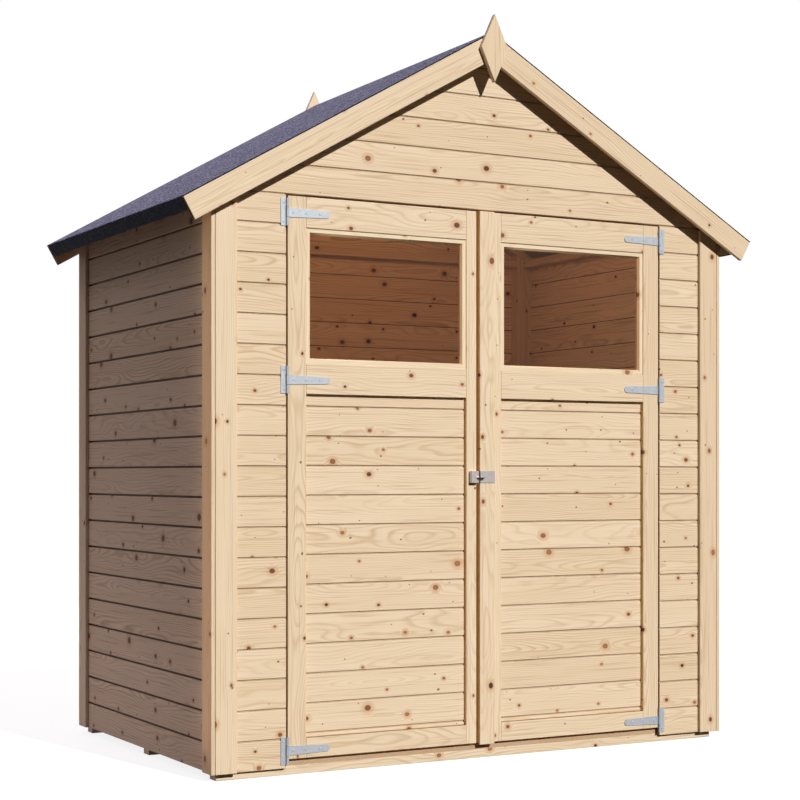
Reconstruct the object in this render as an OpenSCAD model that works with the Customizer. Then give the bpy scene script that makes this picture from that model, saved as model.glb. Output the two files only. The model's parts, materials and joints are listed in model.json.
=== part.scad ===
// Wooden garden shed with a felted ridge roof and a pair of half-glazed doors in the front gable.
// Millimetres. +Z is up and the doors face -Y.
// The origin is on the ground, under the middle of the shed.

/* [Walls] */
// Width across the outer faces of the side boards
wall_w = 1804; // [1700:1:2400]
// Depth across the outer faces of the front and rear boards
wall_d = 1136; // [900:1:2000]
// Height of the side boards, from their lower edge to the eaves
wall_h = 1680; // [1600:1:1900]
// Thickness of the wall boards
board_t = 12; // [8:1:20]
// How far the wall boards hang below the top of the floor
board_drop = 18; // [6:1:35]
// Depth of the framing battens, from the boards into the room
batten_d = 45; // [30:1:60]
// Width of the framing battens along the wall
batten_w = 28; // [20:1:45]

/* [Floor] */
// Height of the bearers under the floor
bearer_h = 27; // [20:1:75]
// Width of the bearers
bearer_w = 45; // [30:1:75]
// Number of bearers
bearer_n = 3; // [2:1:5]
// Thickness of the floor boards
floor_t = 12; // [9:1:22]

/* [Corner trims] */
// Width of the corner trims
trim_w = 70; // [40:1:95]
// Thickness of the corner trims
trim_t = 12; // [8:1:20]

/* [Roof] */
// Slope of the roof in degrees
pitch = 29.7; // [24:0.1:36]
// Overhang of the roof past the side boards
eave_over = 113; // [80:1:180]
// Overhang of the roof boards past the front and rear boards
gable_over = 35; // [20:1:80]
// Thickness of the roof boards
deck_t = 12; // [8:1:20]
// Gap between sloping faces that rest on each other
slope_fit = 0.1; // [0.05:0.05:0.5]
// Thickness of the roofing felt
felt_t = 3; // [1:0.5:5]
// Depth of the battens under the roof boards
roof_batten_d = 28; // [20:1:45]
// Width of the battens along the slope
roof_batten_w = 44; // [30:1:60]
// Depth of the bargeboards across the slope
barge_w = 72; // [60:1:110]
// Thickness of the bargeboards
barge_t = 14; // [10:1:25]
// Width of the diamond finials
finial_w = 96; // [60:1:150]
// Height of the diamond finials
finial_h = 209; // [120:1:300]
// Thickness of the finials
finial_t = 16; // [12:1:30]
// Drop of the middle of the finials below the ridge
finial_drop = 53; // [0:1:80]

/* [Doors] */
// Width of the doorway
doorway_w = 1350; // [1200:1:1500]
// Height of the door leaves
door_h = 1640; // [1500:1:1700]
// Thickness of the door leaves
door_t = 30; // [24:1:38]
// Gap between the leaves and the doorway at the sides and the top
door_gap = 6; // [5:1:10]
// Gap between the leaves and the floor
sill_gap = 8; // [5:1:20]
// Width of the outer stiles, on the hinge side
stile_w = 60; // [50:1:90]
// Width of the two meeting stiles together, between the panels
meet_w = 126; // [110:1:160]
// Height of the bottom rails
bottom_rail_h = 58; // [50:1:120]
// Height of the middle rails
mid_rail_h = 88; // [50:1:120]
// Height of the top rails
top_rail_h = 90; // [50:1:120]
// Height of the window openings between the middle and the top rails
window_h = 398; // [250:1:500]
// Depth of the lower panels behind the face of the leaves
panel_recess = 13; // [4:1:15]
// Thickness of the lower panels
panel_t = 12; // [8:1:14]
// Width of the glazing beads
bead_w = 17; // [10:1:30]
// Depth of the front beads behind the face of the leaves
bead_recess = 4; // [0:1:8]
// Thickness of each glazing bead
bead_t = 11; // [5:1:12]
// Thickness of the window glass
glass_t = 3; // [2:1:6]
// Width of the cover strip on the right leaf, where the leaves meet
strip_w = 53; // [40:1:70]
// Thickness of the cover strip
strip_t = 12; // [8:1:20]
// Distance of the middle of the cover strip to the right of the middle of the shed
strip_off = 5; // [0:1:20]
// How far the cover strip runs below the leaves
strip_drop = 4; // [0:1:4]
// Gap between the edges of the two leaves
leaf_gap = 6; // [6:1:12]

/* [Hinges and latch] */
// Height of the hinge plates on the wall
plate_h = 80; // [60:1:100]
// Reach of the hinge plates from the hinge pin
plate_reach = 20; // [14:1:40]
// Length of the hinge straps from the hinge pin
strap_l = 139; // [100:1:250]
// Width of the hinge straps at the pin
strap_root_w = 28; // [20:1:40]
// Width of the hinge straps at their round end
strap_tip_w = 20; // [12:1:30]
// Thickness of the hinge plates and straps
hinge_t = 2.5; // [2:0.5:4]
// Radius of the hinge knuckles
knuckle_r = 4.5; // [4:0.5:8]
// Gap between the hinge knuckles and the face of the doors
knuckle_lift = 0.3; // [0.2:0.1:1]
// Radius of the hinge pins
pin_r = 2; // [1.5:0.1:2.2]
// Running clearance round the hinge pins
pin_fit = 0.06; // [0.02:0.01:0.1]
// Drop of the hinges below the middle of the rails they hold
hinge_drop = 4; // [0:1:10]
// Width of the latch across both leaves
latch_w = 84; // [70:1:100]
// Height of the latch plates
latch_h = 36; // [25:1:60]
// Thickness of the latch plate
latch_t = 2.5; // [2:0.5:5]
// Distance of the middle of the latch to the left of the middle of the shed
latch_off = 11; // [5:1:15]
// Height of the middle of the latch above the lower edge of the leaves
latch_z = 821; // [700:1:950]
// Width of the finger notch across the latch
notch_w = 31; // [20:1:40]
// Height of the finger notch
notch_h = 10; // [5:1:14]
// Depth of the finger notch behind the face of the latch
notch_d = 5; // [3:1:10]
// Drop of the flat top of the finger notch below the middle of the latch
notch_drop = 2; // [0:1:5]

/* [Hidden] */
$fn = 48;

// Colours
pine = [0.91, 0.80, 0.65];
rough_pine = [0.80, 0.66, 0.48];
felt_grey = [0.38, 0.38, 0.45];
zinc = [0.72, 0.74, 0.77];
pane = [0.75, 0.85, 0.88, 0.35];

// Outer faces of the boards, inner faces of the boards and inner faces of the framing
half_w = wall_w / 2;
half_d = wall_d / 2;
frame_x = half_w - board_t;
frame_y = half_d - board_t;
room_x = frame_x - batten_d;
room_y = frame_y - batten_d;
front = -half_d;

// Levels
floor_z = bearer_h + floor_t;
wall_z = floor_z - board_drop;
sole_z = floor_z + batten_w;
eave_z = wall_z + wall_h;
top_rail_z = eave_z - batten_w;
ridge_z = roof_z(0);

// Roof layers, measured square to the slope from the underside of the roof boards
roof_top_n = deck_t + felt_t;
felt_s = (half_w + eave_over - roof_top_n * sin(pitch)) / cos(pitch);
deck_s = felt_s - felt_t;
deck_y = half_d + gable_over;
barge_y = deck_y + barge_t;
rafter_drop = batten_w / cos(pitch);
stud_drop = (batten_w + slope_fit) / cos(pitch);
deck_z = ridge_z + slope_fit / cos(pitch);
crown_z = deck_z + roof_top_n / cos(pitch);

// Door leaves
doorway_x = doorway_w / 2;
leaf_x = doorway_x - door_gap;
panel_x0 = meet_w / 2;
panel_x1 = leaf_x - stile_w;
right_edge = strip_off - strip_w / 2;
left_edge = right_edge - leaf_gap;
door_z = floor_z + sill_gap;
door_top = door_z + door_h;
lintel_z = door_top + door_gap;
window_z1 = door_top - top_rail_h;
window_z0 = window_z1 - window_h;
panel_z0 = door_z + bottom_rail_h;
panel_z1 = window_z0 - mid_rail_h;
rail_spans = [[door_z, panel_z0], [panel_z1, window_z0], [window_z1, door_top]];
strip_face = front - strip_t;
latch_face = strip_face - latch_t;

// Hinges
hinge_x = doorway_x - door_gap / 2;
hinge_y = front - knuckle_r - knuckle_lift;
hinge_levels = [for (span = rail_spans) (span[0] + span[1]) / 2 - hinge_drop];
knuckle_gap = 1;
middle_knuckle_h = strap_root_w + 2 * knuckle_gap;

// Height of what the roof boards rest on, at a distance from the middle
function roof_z(x) = eave_z + (half_w - abs(x)) * tan(pitch);

// Point at a distance down the right slope and a height square to it
function on_slope(s, n) = [
    s * cos(pitch) + n * sin(pitch),
    deck_z - s * sin(pitch) + n * cos(pitch)
];

// Point of a roof layer on the ridge line
function on_ridge(n) = [0, deck_z + n / cos(pitch)];

module box(from, to) {
    translate(from) cube(to - from);
}

// Profile in X and Z, drawn out from y0 to y1
module along_y(y0, y1) {
    translate([0, y1, 0]) rotate([90, 0, 0]) linear_extrude(height = y1 - y0) children();
}

module left_side() {
    mirror([1, 0, 0]) children();
}

module both_sides() {
    children();
    left_side() children();
}

module rear_end() {
    mirror([0, 1, 0]) children();
}

module both_ends() {
    children();
    rear_end() children();
}

// Room under the slopes that the roof boards rest on, lowered by drop, from y0 to y1
module under_roof(drop, y0, y1) {
    along_y(y0, y1) polygon([
        [-half_w, 0],
        [half_w, 0],
        [half_w, eave_z - drop],
        [0, ridge_z - drop],
        [-half_w, eave_z - drop]
    ]);
}

// Board standing under the right slope, from x0 to x1 and up to the roof boards
module board_to_roof(x0, x1, y0, y1) {
    along_y(y0, y1) polygon([[x0, wall_z], [x1, wall_z], [x1, roof_z(x1)], [x0, roof_z(x0)]]);
}

// Floor
module floor_bearers() {
    pitch_y = (2 * frame_y - bearer_w) / (bearer_n - 1);
    color(rough_pine)
        for (i = [0 : bearer_n - 1])
            translate([-frame_x, -frame_y + i * pitch_y, 0])
                cube([2 * frame_x, bearer_w, bearer_h]);
}

module floor_boards() {
    color(rough_pine) box([-frame_x, -frame_y, bearer_h], [frame_x, frame_y, floor_z]);
}

// Board walls
module front_wall_right() {
    color(pine) board_to_roof(doorway_x, half_w, -half_d, -frame_y);
}

module front_wall_left() {
    left_side() front_wall_right();
}

module front_gable() {
    color(pine) along_y(-half_d, -frame_y) polygon([
        [-doorway_x, lintel_z],
        [doorway_x, lintel_z],
        [doorway_x, roof_z(doorway_x)],
        [0, ridge_z],
        [-doorway_x, roof_z(doorway_x)]
    ]);
}

module rear_wall() {
    color(pine) along_y(frame_y, half_d) polygon([
        [-half_w, wall_z],
        [half_w, wall_z],
        [half_w, eave_z],
        [0, ridge_z],
        [-half_w, eave_z]
    ]);
}

module right_wall() {
    color(pine) board_to_roof(frame_x, half_w, -frame_y, frame_y);
}

module left_wall() {
    left_side() right_wall();
}

// Framing of the front and rear walls: posts beside the side framing and beside the doorway
module end_studs() {
    color(rough_pine) intersection() {
        both_sides() {
            both_ends() box([room_x - batten_w, -frame_y, sole_z], [room_x, -room_y, ridge_z]);
            box([doorway_x, -frame_y, sole_z], [doorway_x + batten_w, -room_y, lintel_z]);
        }
        under_roof(stud_drop, -frame_y, frame_y);
    }
}

// Sole rails, the lintel over the doorway and the rear tie rail
module end_rails() {
    tie_x = room_x - batten_w;
    lintel_x = doorway_x + batten_w;
    color(rough_pine) {
        both_sides() box([doorway_x, -frame_y, floor_z], [frame_x, -room_y, sole_z]);
        box([-frame_x, room_y, floor_z], [frame_x, frame_y, sole_z]);
        intersection() {
            union() {
                box([-tie_x, room_y, top_rail_z], [tie_x, frame_y, eave_z]);
                box([-lintel_x, -frame_y, lintel_z], [lintel_x, -room_y, lintel_z + batten_w]);
            }
            under_roof(stud_drop, -frame_y, frame_y);
        }
    }
}

// Framing of the side walls: posts in the corners
module side_studs() {
    color(rough_pine) intersection() {
        both_sides() both_ends() box([room_x, -frame_y, sole_z], [frame_x, batten_w - frame_y, ridge_z]);
        under_roof(stud_drop, -frame_y, frame_y);
    }
}

module side_rails() {
    color(rough_pine) both_sides() {
        box([room_x, -room_y, floor_z], [frame_x, room_y, sole_z]);
        box([room_x, -room_y, top_rail_z], [frame_x, room_y, eave_z]);
    }
}

// Sloping rails at the tops of both gables
module right_rafters() {
    color(rough_pine) both_ends() along_y(-frame_y, -room_y) polygon([
        [0, ridge_z - rafter_drop],
        [frame_x, roof_z(frame_x) - rafter_drop],
        [frame_x, roof_z(frame_x)],
        [0, ridge_z]
    ]);
}

module left_rafters() {
    left_side() right_rafters();
}

// Corner trims
module front_trims() {
    color(pine) both_sides() board_to_roof(half_w - trim_w, half_w, -half_d - trim_t, -half_d);
}

module rear_trims() {
    rear_end() front_trims();
}

module right_trims() {
    trim_y = half_d + trim_t;
    color(pine) both_ends() board_to_roof(half_w, half_w + trim_t, -trim_y, trim_w - trim_y);
}

module left_trims() {
    left_side() right_trims();
}

// Roof boards on the right slope, with a plumb cut at the ridge and a square cut at the eaves
module roof_deck_right() {
    color(rough_pine) along_y(-deck_y, deck_y)
        polygon([on_ridge(0), on_slope(deck_s, 0), on_slope(deck_s, deck_t), on_ridge(deck_t)]);
}

module roof_deck_left() {
    left_side() roof_deck_right();
}

// Battens under the roof boards: one at the ridge, one half way down and one along the eaves
module roof_battens_right() {
    middle_s = room_x / cos(pitch) / 2;
    eave_s = deck_s - roof_batten_w;
    color(rough_pine) {
        along_y(-room_y, room_y) polygon([
            on_ridge(-slope_fit),
            on_ridge(-roof_batten_d),
            on_slope(roof_batten_w, -roof_batten_d),
            on_slope(roof_batten_w, -slope_fit)
        ]);
        slope_batten(middle_s, -room_y, room_y);
        slope_batten(eave_s, -deck_y, deck_y);
    }
}

module slope_batten(s, y0, y1) {
    along_y(y0, y1) polygon([
        on_slope(s, -slope_fit),
        on_slope(s, -roof_batten_d),
        on_slope(s + roof_batten_w, -roof_batten_d),
        on_slope(s + roof_batten_w, -slope_fit)
    ]);
}

module roof_battens_left() {
    left_side() roof_battens_right();
}

// Felt over the roof boards and the bargeboards, turned down over the eaves between the bargeboards
module roof_felt_right() {
    color(felt_grey) {
        along_y(-deck_y, deck_y) polygon([
            on_ridge(deck_t),
            on_slope(deck_s, deck_t),
            on_slope(deck_s, -roof_batten_d),
            on_slope(felt_s, -roof_batten_d),
            on_slope(felt_s, roof_top_n),
            on_ridge(roof_top_n)
        ]);
        both_ends() along_y(-barge_y, -deck_y) polygon([
            on_ridge(deck_t),
            on_slope(felt_s, deck_t),
            on_slope(felt_s, roof_top_n),
            on_ridge(roof_top_n)
        ]);
    }
}

module roof_felt_left() {
    left_side() roof_felt_right();
}

// Bargeboards across the ends of the roof boards, under the edge of the felt
module front_right_bargeboard() {
    high_n = deck_t - slope_fit;
    low_n = high_n - barge_w;
    color(pine) along_y(-barge_y, -deck_y)
        polygon([on_ridge(low_n), on_slope(felt_s, low_n), on_slope(felt_s, high_n), on_ridge(high_n)]);
}

module front_left_bargeboard() {
    left_side() front_right_bargeboard();
}

module rear_right_bargeboard() {
    rear_end() front_right_bargeboard();
}

module rear_left_bargeboard() {
    left_side() rear_right_bargeboard();
}

module finials() {
    color(pine) both_ends()
        translate([0, 0, crown_z - finial_drop])
            along_y(-barge_y - finial_t, -barge_y)
                polygon([[-finial_w / 2, 0], [0, -finial_h / 2], [finial_w / 2, 0], [0, finial_h / 2]]);
}

// Plate of one hinge on the right of the doorway, with its outer knuckles and its pin
module hinge_plate() {
    notch_r = knuckle_r + knuckle_gap;
    difference() {
        union() {
            box([hinge_x, front - hinge_t, -plate_h / 2], [hinge_x + plate_reach, front, plate_h / 2]);
            translate([hinge_x, hinge_y, 0]) cylinder(r = knuckle_r, h = plate_h, center = true);
        }
        translate([hinge_x, hinge_y, 0]) cube([2 * notch_r, 2 * notch_r, middle_knuckle_h], center = true);
    }
    translate([hinge_x, hinge_y, 0]) cylinder(r = pin_r, h = plate_h, center = true);
}

// Strap of one hinge on the right leaf, with its bored knuckle and a round end
module hinge_strap() {
    tip_r = strap_tip_w / 2;
    end_x = hinge_x - strap_l + tip_r;
    difference() {
        union() {
            along_y(front - hinge_t, front) polygon([
                [hinge_x, -strap_root_w / 2],
                [hinge_x, strap_root_w / 2],
                for (a = [90 : 15 : 270]) [end_x + tip_r * cos(a), tip_r * sin(a)]
            ]);
            translate([hinge_x, hinge_y, 0]) cylinder(r = knuckle_r, h = strap_root_w, center = true);
        }
        translate([hinge_x, hinge_y, 0]) cylinder(r = pin_r + pin_fit, h = plate_h, center = true);
    }
}

module at_hinges() {
    for (z = hinge_levels)
        translate([0, 0, z]) children();
}

module right_hinge_plates() {
    color(zinc) at_hinges() hinge_plate();
}

module left_hinge_plates() {
    left_side() right_hinge_plates();
}

module right_door_straps() {
    color(zinc) at_hinges() hinge_strap();
}

module left_door_straps() {
    color(zinc) at_hinges() rotate([0, 180, 0]) hinge_strap();
}

// Door leaves: stiles from top to bottom, with rails, a boarded panel and a window between them
module stile(x0, x1) {
    color(pine) box([x0, front, door_z], [x1, front + door_t, door_top]);
}

module left_door_stiles() {
    stile(-leaf_x, -panel_x1);
    stile(-panel_x0, left_edge);
}

module right_door_stiles() {
    stile(right_edge, panel_x0);
    stile(panel_x1, leaf_x);
}

module right_door_rails() {
    color(pine)
        for (span = rail_spans)
            box([panel_x0, front, span[0]], [panel_x1, front + door_t, span[1]]);
}

module left_door_rails() {
    left_side() right_door_rails();
}

module right_door_panel() {
    panel_y = front + panel_recess;
    color(pine) box([panel_x0, panel_y, panel_z0], [panel_x1, panel_y + panel_t, panel_z1]);
}

module left_door_panel() {
    left_side() right_door_panel();
}

// Ring of beads round a window, from y to y + bead_t
module bead_ring(y) {
    opening = [panel_x1 - panel_x0, window_h];
    along_y(y, y + bead_t) translate([panel_x0, window_z0]) difference() {
        square(opening);
        translate([bead_w, bead_w]) square(opening - [2 * bead_w, 2 * bead_w]);
    }
}

module right_door_beads() {
    color(pine) {
        bead_ring(front + bead_recess);
        bead_ring(front + bead_recess + bead_t + glass_t);
    }
}

module left_door_beads() {
    left_side() right_door_beads();
}

module right_door_glass() {
    glass_y = front + bead_recess + bead_t;
    color(pane) box([panel_x0, glass_y, window_z0], [panel_x1, glass_y + glass_t, window_z1]);
}

module left_door_glass() {
    left_side() right_door_glass();
}

// Cover strip and latch where the leaves meet
module cover_strip() {
    color(pine) box([right_edge, strip_face, door_z - strip_drop], [right_edge + strip_w, front, door_top]);
}

// Part of the latch from x0 to x1 and from its face back to y1
module latch_part(x0, x1, y1) {
    z = door_z + latch_z;
    box([x0, latch_face, z - latch_h / 2], [x1, y1, z + latch_h / 2]);
}

// Finger notch across the meeting edges of the latch, a segment of a round with its flat side up
module finger_notch() {
    z = door_z + latch_z - notch_drop;
    notch_r = (pow(notch_w / 2, 2) + pow(notch_h, 2)) / (2 * notch_h);
    intersection() {
        along_y(latch_face - latch_t, latch_face + notch_d)
            translate([right_edge, z - notch_h + notch_r])
                circle(r = notch_r);
        box([right_edge - notch_w, latch_face - latch_t, z - 2 * notch_h],
            [right_edge + notch_w, latch_face + notch_d, z]);
    }
}

// Keeper on the left leaf: a plate level with the one on the strip, folded back to the leaf at its edge
module latch_keeper() {
    color(zinc) difference() {
        union() {
            latch_part(-latch_off - latch_w / 2, left_edge, strip_face);
            latch_part(left_edge - latch_t, left_edge, front);
        }
        finger_notch();
    }
}

module latch_plate() {
    color(zinc) difference() {
        latch_part(right_edge, latch_w / 2 - latch_off, strip_face);
        finger_notch();
    }
}

floor_bearers();
floor_boards();
front_wall_left();
front_wall_right();
front_gable();
rear_wall();
left_wall();
right_wall();
end_studs();
end_rails();
side_studs();
side_rails();
left_rafters();
right_rafters();
front_trims();
rear_trims();
left_trims();
right_trims();
roof_deck_left();
roof_deck_right();
roof_battens_left();
roof_battens_right();
roof_felt_left();
roof_felt_right();
front_left_bargeboard();
front_right_bargeboard();
rear_left_bargeboard();
rear_right_bargeboard();
finials();
left_hinge_plates();
right_hinge_plates();
left_door_stiles();
left_door_rails();
left_door_panel();
left_door_beads();
left_door_glass();
left_door_straps();
latch_keeper();
right_door_stiles();
right_door_rails();
right_door_panel();
right_door_beads();
right_door_glass();
right_door_straps();
cover_strip();
latch_plate();
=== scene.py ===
import json
import math
import random

import bmesh
import bpy
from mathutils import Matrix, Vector, noise


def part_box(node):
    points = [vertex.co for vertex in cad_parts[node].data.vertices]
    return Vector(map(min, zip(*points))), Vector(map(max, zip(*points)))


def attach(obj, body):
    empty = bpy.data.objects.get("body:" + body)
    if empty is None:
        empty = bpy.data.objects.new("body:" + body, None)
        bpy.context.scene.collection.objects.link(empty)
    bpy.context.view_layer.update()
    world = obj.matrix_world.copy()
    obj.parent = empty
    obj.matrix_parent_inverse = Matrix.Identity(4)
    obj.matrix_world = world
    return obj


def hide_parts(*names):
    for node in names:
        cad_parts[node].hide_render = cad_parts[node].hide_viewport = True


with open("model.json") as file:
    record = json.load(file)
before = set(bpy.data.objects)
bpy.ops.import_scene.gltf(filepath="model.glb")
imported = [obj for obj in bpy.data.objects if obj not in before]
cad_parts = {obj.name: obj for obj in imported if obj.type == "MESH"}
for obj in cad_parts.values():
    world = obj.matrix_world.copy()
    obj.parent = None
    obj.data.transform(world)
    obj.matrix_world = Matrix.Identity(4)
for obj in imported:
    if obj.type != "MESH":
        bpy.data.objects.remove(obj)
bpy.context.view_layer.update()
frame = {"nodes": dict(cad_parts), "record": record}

# Garden shed: boards, planed timbers, felt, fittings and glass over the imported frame, in metres.
SEED = 41
DRAW = random.Random(SEED)
BODY_OF = {node: body for body, nodes in frame["record"]["behaviour"]["bodies"].items() for node in nodes}

# Boards
BOARD_COVER = 0.088
BOARD_GROOVE = 0.0065
FRONT_GROOVE = 0.005
FRONT_GROOVE_DEPTH = 0.004
GROOVE_DEPTH = 0.008
BOARD_LAP = 0.006
LAP_GAP = 0.0003
BACK_GAP = 0.003
BOARD_EDGE = 0.0015
PANEL_COVER = 0.08705
PANEL_FIRST = 0.0143
FLOOR_COVER = 0.112
DECK_COVER = 0.095
DECK_GROOVE = 0.0015
DECK_GROOVE_DEPTH = 0.003
RIDGE_TIP = 0.002

# Planed timbers
PLANED_EDGE = 0.0015
TRIM_EDGE = 0.002
SAWN_EDGE = 0.001
EDGE_STEPS = 2
TRIM_GAP = 0.0012
RAIL_GAP = 0.0003
BEAD_SPLAY = 0.0045
BEAD_SPLAY_SHARE = 0.75
MERGE_DISTANCE = 1e-6
FLAT_ANGLE = math.radians(1)

# How squarely a face looks in a direction, to count as facing it
FACING = 0.9
FACING_BARGE_END = 0.95
FACING_SPLAY = 0.5

# Edges of a timber: the digits of a length that count, and the cosine under which two are square enough
LENGTH_DIGITS = 6
NEARLY_SQUARE = 0.3

# Felt
FELT_BEND = 0.003
FELT_STEP = 0.02
FELT_STRIPS = 30
FELT_BEND_STEPS = 6
FELT_BARE_SHADED_FROM = 4
FELT_HEM_STEPS = 5
FELT_WAVE = 0.0009
FELT_WAVES_PER_M = (7, 9)
FELT_WAVE_START = 3.7
FELT_HEM_WAVE = 0.0022
FELT_HEM_WAVES_PER_M = (13, 20)
FELT_HEM_START = 5.1

# Fittings
SCREW_HEAD = 0.0036
SCREW_RISE = 0.0011
SCREW_SIDES = 14
SCREW_SINK = 0.3
# Half section of a screw head, from the drive to the rim: shares of its radius and of its rise
SCREW_SECTION = ((0.22, 0.45), (0.34, 0.95), (0.62, 1.0), (0.88, 0.62), (1.0, 0.0))
HINGE_T = 0.0025
PLATE_SCREW_SHIFT = 0.003
PLATE_SCREW_RISE = 0.028
STRAP_SCREWS = (0.024, 0.066, 0.112)
NOTCH_W = 0.031
NOTCH_H = 0.010
NOTCH_DROP = 0.002
HOOD_H = 0.006
HOOD_OUT = 0.0016
HOOD_TIP = 0.004
HOOD_STEPS = 6
NOTCH_STEPS = 10
LINER_T = 0.0006
FLANGE_T = 0.001

# Faces and levels taken from the frame
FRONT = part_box("front_gable")[0].y
FRAME_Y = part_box("rear_wall")[0].y
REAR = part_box("rear_wall")[1].y
FRAME_X, SIDE = (corner.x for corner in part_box("right_wall"))
BOARD_T = SIDE - FRAME_X
WALL_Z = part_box("right_wall")[0].z
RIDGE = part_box("rear_wall")[1].z
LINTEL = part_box("front_gable")[0].z
DOORWAY_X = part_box("front_wall_right")[0].x
ROOF_TAN = (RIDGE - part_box("right_wall")[1].z) / FRAME_X
ROOF_COS = 1 / math.hypot(1, ROOF_TAN)
ROOF_SIN = ROOF_TAN * ROOF_COS
EAVE = RIDGE - SIDE * ROOF_TAN
DECK_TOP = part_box("roof_deck_right")[1].z
FELT_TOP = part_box("roof_felt_right")[1].z
DECK_T = (DECK_TOP - RIDGE) * ROOF_COS
FELT_T = (FELT_TOP - DECK_TOP) * ROOF_COS
FELT_FACE = DECK_T + FELT_T
DECK_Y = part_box("roof_deck_right")[1].y
BARGE_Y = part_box("rear_left_bargeboard")[1].y
FELT_S = (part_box("roof_felt_right")[1].x - FELT_FACE * ROOF_SIN) / ROOF_COS
FELT_DROP = (RIDGE - FELT_S * ROOF_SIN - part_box("roof_felt_right")[0].z) / ROOF_COS


# Materials

# Sockets of a Mix node that mixes colours: its factor and the two colours, and its result
MIX_INPUTS = (0, 6, 7)
MIX_RESULT = 2

# Metres of wood along which the grain of each board starts at random
GRAIN_RUN = 40.0
# Growth rings: their width and relief, and the spread and the start of the pith's place beside a board and of
# its sway along the board
RING_WIDTH = 0.0052
RING_BUMP = 0.0006
PITH_ACROSS = (-0.12, 0.06)
PITH_INTO = (0.07, 0.012)
SWAY_ACROSS = (0.05, -0.025)
SWAY_INTO = (0.10, -0.05)
# Knots: the most that their pattern shifts between boards, how far they push the rings aside, the share of
# a distance along the board that counts, which makes them oval, and the radii to one that isn't there
LARGE_KNOT_SHIFT = 17.3
SMALL_KNOT_SHIFT = 23.9
KNOT_SWELL = 0.007
KNOT_SQUEEZE = 0.8
FAR_AWAY = 100.0
# The room that a knot takes along and across a board, the share of places that have one, and its radii
LARGE_KNOTS = {"cell": (0.19, 0.10), "share": 0.60, "radii": (0.0036, 0.0088)}
SMALL_KNOTS = {"cell": (0.15, 0.06), "share": 0.34, "radii": (0.0014, 0.0032)}
# How often the grain varies along, across and into a board, per metre
SWAY = (1.5, 6.0, 6.0)
FIBRES = (5.0, 700.0, 700.0)
DRIFT = (2.2, 26.0, 26.0)
STREAKS = (3.0, 190.0, 190.0)
STREAK_SHADE = 0.92
# Depths between which painted shade darkens the groove at a board's edge, and those where it is pale again
GROOVE_SHADE_FROM = (0.0012, 0.004)
GROOVE_SHADE_TO = (0.0085, 0.0115)
GROOVE_SHADE_COLOUR = (0.10, 0.048, 0.018)
KNOT_HALO = (0.60, 0.31, 0.15)
KNOT_RIM = (0.09, 0.036, 0.016)
SMALL_KNOT = (0.15, 0.062, 0.026)
LIVE_KNOT = (0.44, 0.18, 0.08)
OLD_KNOT = (0.25, 0.095, 0.038)
DEAD_KNOT = (0.050, 0.020, 0.010)
# Texture of the other materials, per metre
FELT_GRIT = 210.0
FELT_BLOTCHES = 9.0
ZINC_SPANGLE = 260.0
ZINC_CLOUDS = 70.0
NOTCH_DUST = 300.0
GLASS_SMEARS = 14.0


class Nodes:
    """A node tree with short ways to add to it."""

    def __init__(self, tree):
        self.tree = tree

    def feed(self, socket, value):
        if isinstance(value, bpy.types.NodeSocket):
            self.tree.links.new(value, socket)
        else:
            socket.default_value = value

    def node(self, kind, settings=None, inputs=None):
        made = self.tree.nodes.new("ShaderNode" + kind)
        for key, value in (settings or {}).items():
            setattr(made, key, value)
        for key, value in (inputs or {}).items():
            self.feed(made.inputs[key], value)
        return made

    def math(self, operation, *values):
        made = self.node("Math", {"operation": operation})
        for socket, value in zip(made.inputs, values):
            self.feed(socket, value)
        return made.outputs[0]

    def mix_shaders(self, factor, one, other):
        made = self.node("MixShader")
        for socket, value in zip(made.inputs, (factor, one.outputs[0], other.outputs[0])):
            self.feed(socket, value)
        return made.outputs[0]

    def end(self, output, shader):
        self.feed(self.tree.nodes[output].inputs["Surface"], shader)


class Shader(Nodes):
    """A node material that ends in one Principled shader."""

    def __init__(self, name):
        self.material = bpy.data.materials.new(name)
        self.material.use_nodes = True
        super().__init__(self.material.node_tree)
        self.principled = self.tree.nodes["Principled BSDF"]

    def fade(self, value, start, end, low=0.0, high=1.0):
        """Goes smoothly from low at start to high at end."""
        made = self.node("MapRange", {"interpolation_type": "SMOOTHSTEP"}, {
            "Value": value, "From Min": start, "From Max": end, "To Min": low, "To Max": high})
        return made.outputs[0]

    def attribute(self, name):
        return self.node("Attribute", {"attribute_name": name}).outputs["Vector"]

    def split(self, vector):
        return self.node("SeparateXYZ", None, {"Vector": vector}).outputs[:3]

    def stretch(self, vector, scale):
        made = self.node("VectorMath", {"operation": "MULTIPLY"})
        self.feed(made.inputs[0], vector)
        self.feed(made.inputs[1], scale)
        return made.outputs[0]

    def noise(self, vector, scale, detail=2.0, roughness=0.5):
        return self.node("TexNoise", None, {
            "Vector": vector, "Scale": scale, "Detail": detail, "Roughness": roughness})

    def mix(self, factor, one, other, blend="MIX"):
        made = self.node("Mix", {"data_type": "RGBA", "blend_type": blend})
        for place, value in zip(MIX_INPUTS, (factor, one, other)):
            self.feed(made.inputs[place], value)
        return made.outputs[MIX_RESULT]

    def ramp(self, factor, stops):
        made = self.node("ValToRGB", None, {"Fac": factor})
        elements = made.color_ramp.elements
        while len(elements) < len(stops):
            elements.new(0.5)
        for element, (place, colour) in zip(elements, stops):
            element.position = place
            element.color = colour
        return made.outputs["Color"]

    def surface(self, **values):
        for key, value in values.items():
            self.feed(self.principled.inputs[key.replace("_", " ")], value)

    def bump(self, height, strength, distance):
        made = self.node("Bump", None, {"Height": height, "Strength": strength, "Distance": distance})
        self.feed(self.principled.inputs["Normal"], made.outputs["Normal"])


def rgb(red, green, blue):
    return (red, green, blue, 1.0)


def grey(value):
    return rgb(value, value, value)


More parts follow.
